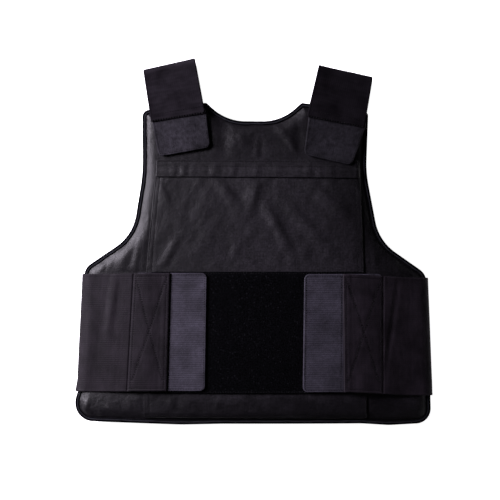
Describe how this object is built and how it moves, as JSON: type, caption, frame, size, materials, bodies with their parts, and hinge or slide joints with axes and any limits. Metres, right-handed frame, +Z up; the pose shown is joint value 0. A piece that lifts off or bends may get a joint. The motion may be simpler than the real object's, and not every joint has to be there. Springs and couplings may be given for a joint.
{
  "type": "stab vest",
  "caption": "Lying stab vest: padded front and back panels joined by folded shoulder straps and elastic side bands with hook tabs on a loop field.",
  "frame": {"origin": "on the floor below the middle of the back panel, 30 mm above the waist band's upper edge in the vest's own height", "axes": "+Z up, the way the front faces as the vest lies on its back; +Y towards the neck; +X towards the wearer's left"},
  "size_m": [0.4555, 0.4623, 0.0602],
  "materials": {
    "carrier_nylon": "very dark grey woven nylon with a faint purple cast, matt, softly wrinkled",
    "binding_tape": "black ribbed binding tape, matt",
    "loop_pile": "black loop pile, fully matt",
    "hook_backing": "dark grey ribbed back of hook tape, slight nylon sheen",
    "elastic_webbing": "black knitted elastic webbing with fine ribs, matt"
  },
  "bodies": {
    "root": {"front_panel": "carrier_nylon", "front_binding": "binding_tape", "plate_pocket": "carrier_nylon", "pocket_flap": "carrier_nylon", "loop_field": "loop_pile", "side_band_right": "elastic_webbing", "side_band_left": "elastic_webbing", "side_tab_right": "hook_backing", "side_tab_left": "hook_backing", "shoulder_strap_right": "elastic_webbing", "shoulder_strap_left": "elastic_webbing", "shoulder_tab_right": "hook_backing", "shoulder_tab_left": "hook_backing", "shoulder_loop_right": "loop_pile", "shoulder_loop_left": "loop_pile", "back_panel": "carrier_nylon", "back_binding": "binding_tape"}
  },
  "joints": []
}
